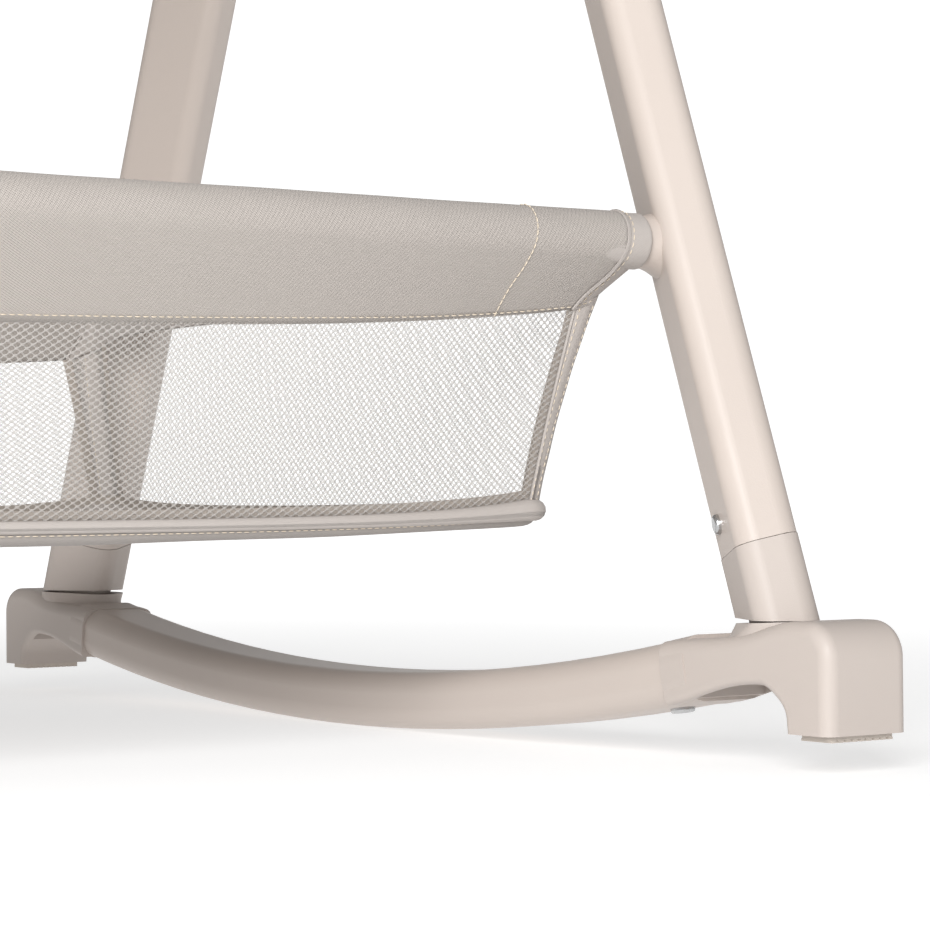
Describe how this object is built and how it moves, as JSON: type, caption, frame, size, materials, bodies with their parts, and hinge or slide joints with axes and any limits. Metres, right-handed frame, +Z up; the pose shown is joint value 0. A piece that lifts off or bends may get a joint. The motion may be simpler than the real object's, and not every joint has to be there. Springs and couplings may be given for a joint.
{
  "type": "rocking bedside crib",
  "caption": "Rocking bedside crib with A-shaped leg frames on curved rocker rails, a mesh-sided storage basket between the legs and a lift-off fabric bassinet.",
  "frame": {"origin": "centre of the footprint on the floor, at the height of the rocker rails' lowest line", "axes": "+X along the crib, +Y from its front long side to its back long side, +Z up"},
  "size_m": [1, 0.75, 0.8059],
  "materials": {
    "frame_paint": "satin beige powder coat",
    "moulded_plastic": "fine matt texture",
    "button_plastic": "smooth matt",
    "pad_rubber": "matt ribbed",
    "bright_steel": "bright zinc plate",
    "twill": "beige twill with a fine diagonal weave",
    "mesh_fabric": "open spacer net",
    "binding_fabric": "smooth woven binding",
    "stitching": "cream sewing thread",
    "mattress_cover": "soft quilted jersey",
    "board": "raw hardboard"
  },
  "bodies": {
    "frame": {"rocker_rail_left": "frame_paint", "hub_left": "moulded_plastic", "hub_cover_left": "moulded_plastic", "rocker_rail_right": "frame_paint", "hub_right": "moulded_plastic", "hub_cover_right": "moulded_plastic", "foot_casting_left_front": "moulded_plastic", "leg_tube_left_front": "frame_paint", "leg_sleeve_left_front": "moulded_plastic", "foot_casting_left_back": "moulded_plastic", "leg_tube_left_back": "frame_paint", "leg_sleeve_left_back": "moulded_plastic", "foot_casting_right_front": "moulded_plastic", "leg_tube_right_front": "frame_paint", "leg_sleeve_right_front": "moulded_plastic", "foot_casting_right_back": "moulded_plastic", "leg_tube_right_back": "frame_paint", "leg_sleeve_right_back": "moulded_plastic", "rail_rivets": "bright_steel", "foot_screws": "bright_steel", "leg_screws": "bright_steel", "basket_rim_tube": "frame_paint", "basket_stubs": "frame_paint", "basket_rim_cover": "twill", "basket_fabric": "mesh_fabric", "basket_floor_insert": "binding_fabric"},
    "bassinet": {"bassinet_rim_tube": "frame_paint", "bassinet_rim_cover": "twill", "bassinet_fabric": "twill", "bassinet_floor_board": "board", "bassinet_mattress": "mattress_cover", "bassinet_bracket_left": "moulded_plastic", "bassinet_bracket_right": "moulded_plastic"},
    "button_left": {"release_button_left": "button_plastic"},
    "button_right": {"release_button_right": "button_plastic"},
    "stabiliser_left_front": {"stabiliser_plunger_left_front": "button_plastic", "stabiliser_pad_left_front": "pad_rubber"},
    "stabiliser_left_back": {"stabiliser_plunger_left_back": "button_plastic", "stabiliser_pad_left_back": "pad_rubber"},
    "stabiliser_right_front": {"stabiliser_plunger_right_front": "button_plastic", "stabiliser_pad_right_front": "pad_rubber"},
    "stabiliser_right_back": {"stabiliser_plunger_right_back": "button_plastic", "stabiliser_pad_right_back": "pad_rubber"}
  },
  "joints": [
    {"name": "bassinet_lift", "type": "slide", "parent": "frame", "child": "bassinet", "axis": [0, 0, 1], "range_m": [0, 0.3]},
    {"name": "button_press_left", "type": "slide", "parent": "frame", "child": "button_left", "axis": [1, 0, 0], "range_m": [0, 0.004], "stiffness_N_per_m": 600, "springref_m": -0.002},
    {"name": "button_press_right", "type": "slide", "parent": "frame", "child": "button_right", "axis": [-1, 0, 0], "range_m": [0, 0.004], "stiffness_N_per_m": 600, "springref_m": -0.002},
    {"name": "stabiliser_drop_left_front", "type": "slide", "parent": "frame", "child": "stabiliser_left_front", "axis": [0, 0, -1], "range_m": [0, 0.0138]},
    {"name": "stabiliser_drop_left_back", "type": "slide", "parent": "frame", "child": "stabiliser_left_back", "axis": [0, 0, -1], "range_m": [0, 0.0138]},
    {"name": "stabiliser_drop_right_front", "type": "slide", "parent": "frame", "child": "stabiliser_right_front", "axis": [0, 0, -1], "range_m": [0, 0.0138]},
    {"name": "stabiliser_drop_right_back", "type": "slide", "parent": "frame", "child": "stabiliser_right_back", "axis": [0, 0, -1], "range_m": [0, 0.0138]}
  ]
}
